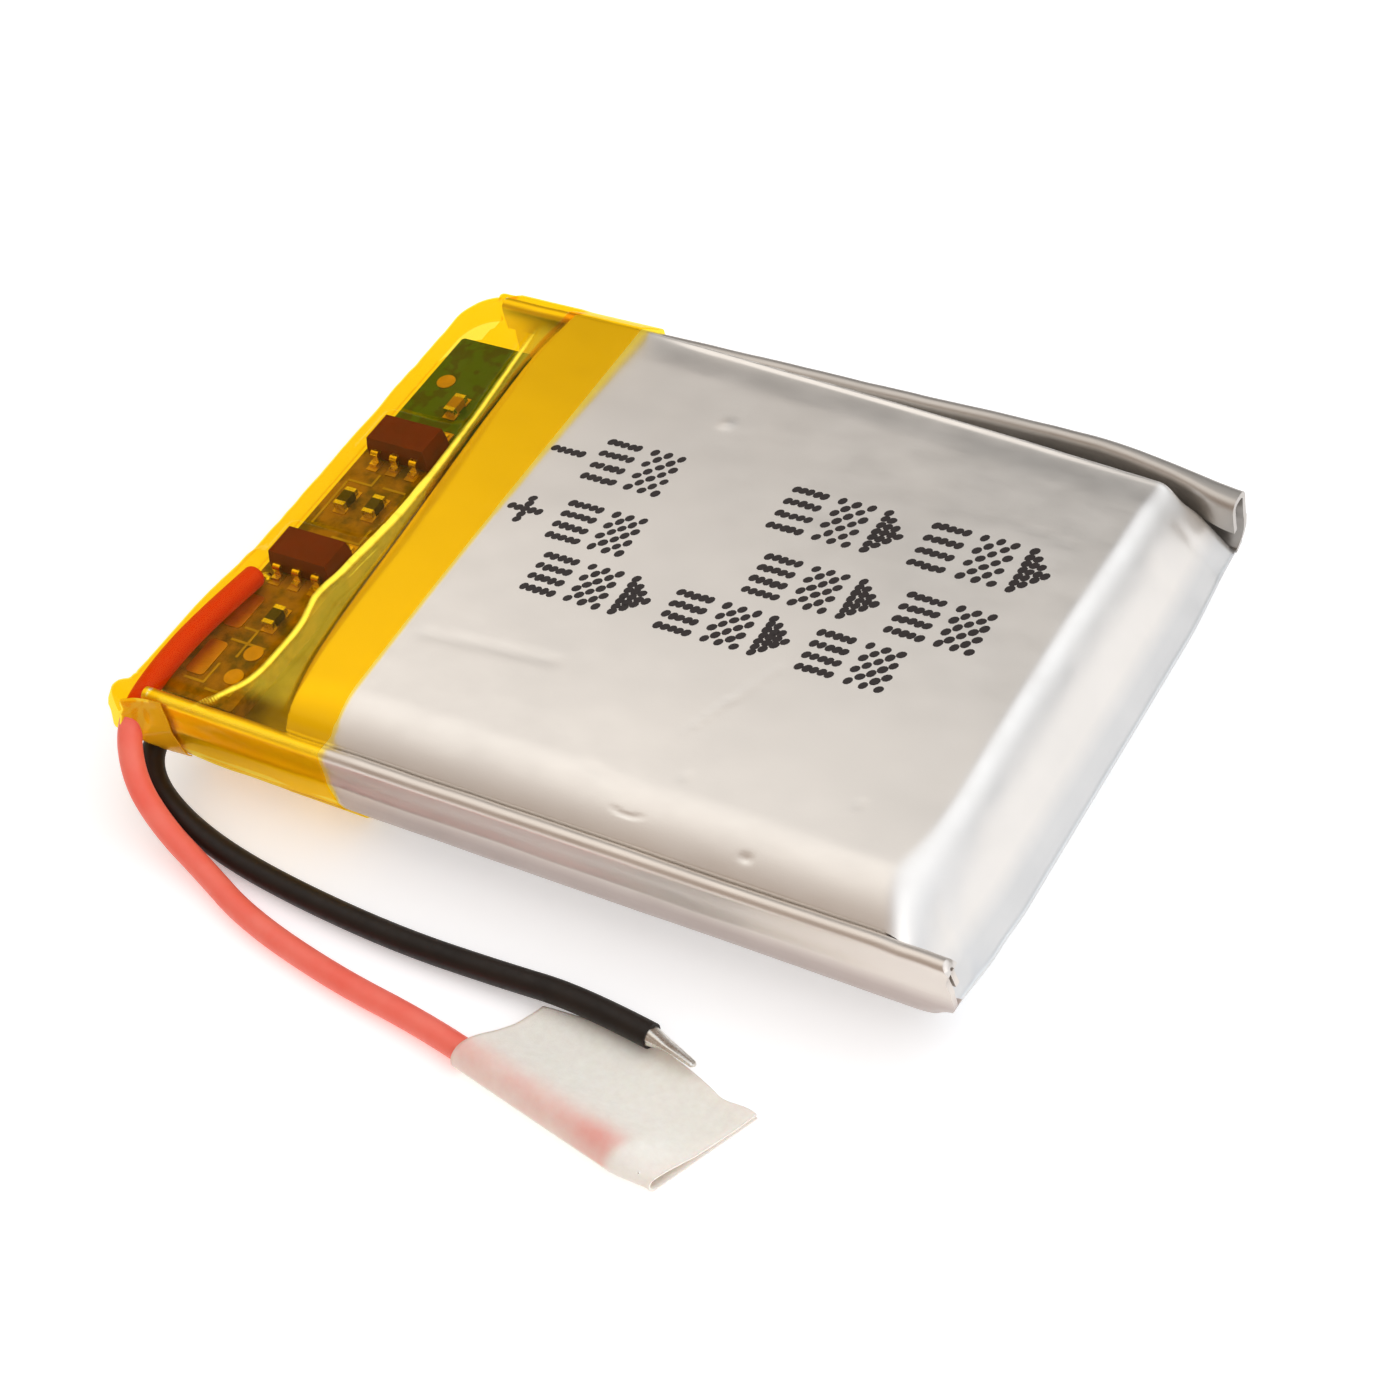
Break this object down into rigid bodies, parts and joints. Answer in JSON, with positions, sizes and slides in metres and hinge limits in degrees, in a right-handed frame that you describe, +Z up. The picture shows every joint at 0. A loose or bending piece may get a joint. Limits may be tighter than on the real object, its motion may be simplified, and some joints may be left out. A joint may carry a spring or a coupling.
{
  "type": "lithium polymer battery pack",
  "caption": "Soft-pouch rechargeable cell with a taped protection board at one end and two short solder leads, one flagged with paper tape.",
  "frame": {"origin": "bottom centre of the pack without its leads", "axes": "+X along the pack from the board end to the folded end, +Y towards the back, +Z up; the leads leave at the -X -Y corner"},
  "size_m": [0.035, 0.034, 0.006],
  "materials": {
    "laminate": "satin drawn aluminium laminate",
    "sealant": "milky polypropylene",
    "cathode": "matt black coating",
    "anode": "matt graphite",
    "separator": "white microporous film",
    "winding_tape": "green polyester tape",
    "aluminium_tab": "bright foil",
    "nickel": "rolled nickel",
    "paper": "matt barley paper",
    "board": "glossy green solder mask",
    "gold_pads": "gold-plated copper",
    "ic_body": "moulded epoxy",
    "tinned": "bright tin",
    "chip_black": "black glaze",
    "chip_tan": "tan ceramic",
    "red_pvc": "satin red insulation",
    "black_pvc": "satin black insulation",
    "paper_tape": "off-white crepe paper tape",
    "polyimide": "glossy amber film"
  },
  "bodies": {
    "root": {"upper_cup": "laminate", "lower_cup": "laminate", "side_seal_front": "laminate", "side_seal_back": "laminate", "terrace_seal": "sealant", "cathode_strip": "cathode", "anode_strip": "anode", "inner_separator": "separator", "outer_separator": "separator", "winding_tape": "winding_tape", "positive_tab": "aluminium_tab", "negative_tab": "nickel", "positive_tab_sealant": "sealant", "negative_tab_sealant": "sealant", "nickel_strips": "nickel", "insulating_paper": "paper", "circuit_board": "board", "copper_pads": "gold_pads", "protection_ic": "ic_body", "mosfet_ic": "ic_body", "ic_pins": "tinned", "resistors": "chip_black", "capacitor": "chip_tan", "chip_terminations": "tinned", "solder_joints": "tinned", "red_insulation": "red_pvc", "red_strands": "tinned", "red_tip": "tinned", "black_insulation": "black_pvc", "black_strands": "tinned", "black_tip": "tinned", "tip_tape_flag": "paper_tape", "tape_band": "polyimide", "end_tape": "polyimide"}
  },
  "joints": []
}
